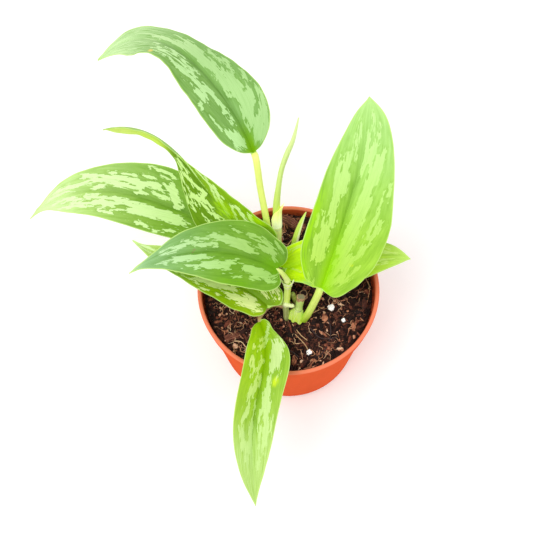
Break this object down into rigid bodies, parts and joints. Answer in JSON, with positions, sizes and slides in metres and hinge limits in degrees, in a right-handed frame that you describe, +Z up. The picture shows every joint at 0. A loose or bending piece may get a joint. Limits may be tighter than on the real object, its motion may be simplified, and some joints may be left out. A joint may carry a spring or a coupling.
{
  "type": "potted satin pothos",
  "caption": "Young satin pothos with silvery splashed leaves in a round terracotta-coloured plastic nursery pot of soil.",
  "frame": {"origin": "middle of the pot's flat underside", "axes": "+Z up, -Y the front that the hanging leaf points to, +X the side of the upright leaf"},
  "size_m": [0.2551, 0.2889, 0.1901],
  "materials": {
    "terracotta_plastic": "satin",
    "potting_soil": "matte",
    "leaf_blade": "satin",
    "petiole": "satin",
    "stem": "satin",
    "young_leaf": "satin",
    "dried_stem": "matte",
    "bark": "matte",
    "perlite": "matte"
  },
  "bodies": {
    "root": {"aerial_root": "petiole", "back_shoot_stem": "stem", "bark_back": "bark", "bark_front": "bark", "bark_left": "bark", "bark_right": "bark", "dead_stump": "dried_stem", "dried_petiole": "dried_stem", "front_shoot_stem": "stem", "leaf_curled_blade": "leaf_blade", "leaf_curled_petiole": "petiole", "leaf_far_left_blade": "leaf_blade", "leaf_far_left_petiole": "petiole", "leaf_hanging_blade": "leaf_blade", "leaf_hanging_petiole": "petiole", "leaf_high_blade": "leaf_blade", "leaf_high_petiole": "petiole", "leaf_left_lower_blade": "leaf_blade", "leaf_left_lower_petiole": "petiole", "leaf_left_upper_blade": "leaf_blade", "leaf_left_upper_petiole": "petiole", "leaf_right_blade": "leaf_blade", "leaf_right_petiole": "petiole", "leaf_upright_blade": "leaf_blade", "leaf_upright_petiole": "petiole", "new_leaf_sheath": "petiole", "old_stem": "stem", "perlite_back": "perlite", "perlite_far_right": "perlite", "perlite_front": "perlite", "perlite_right": "perlite", "pot": "terracotta_plastic", "rolled_new_leaf": "young_leaf", "soil": "potting_soil", "upright_leaf_sheath": "petiole", "young_sprout": "young_leaf"}
  },
  "joints": []
}
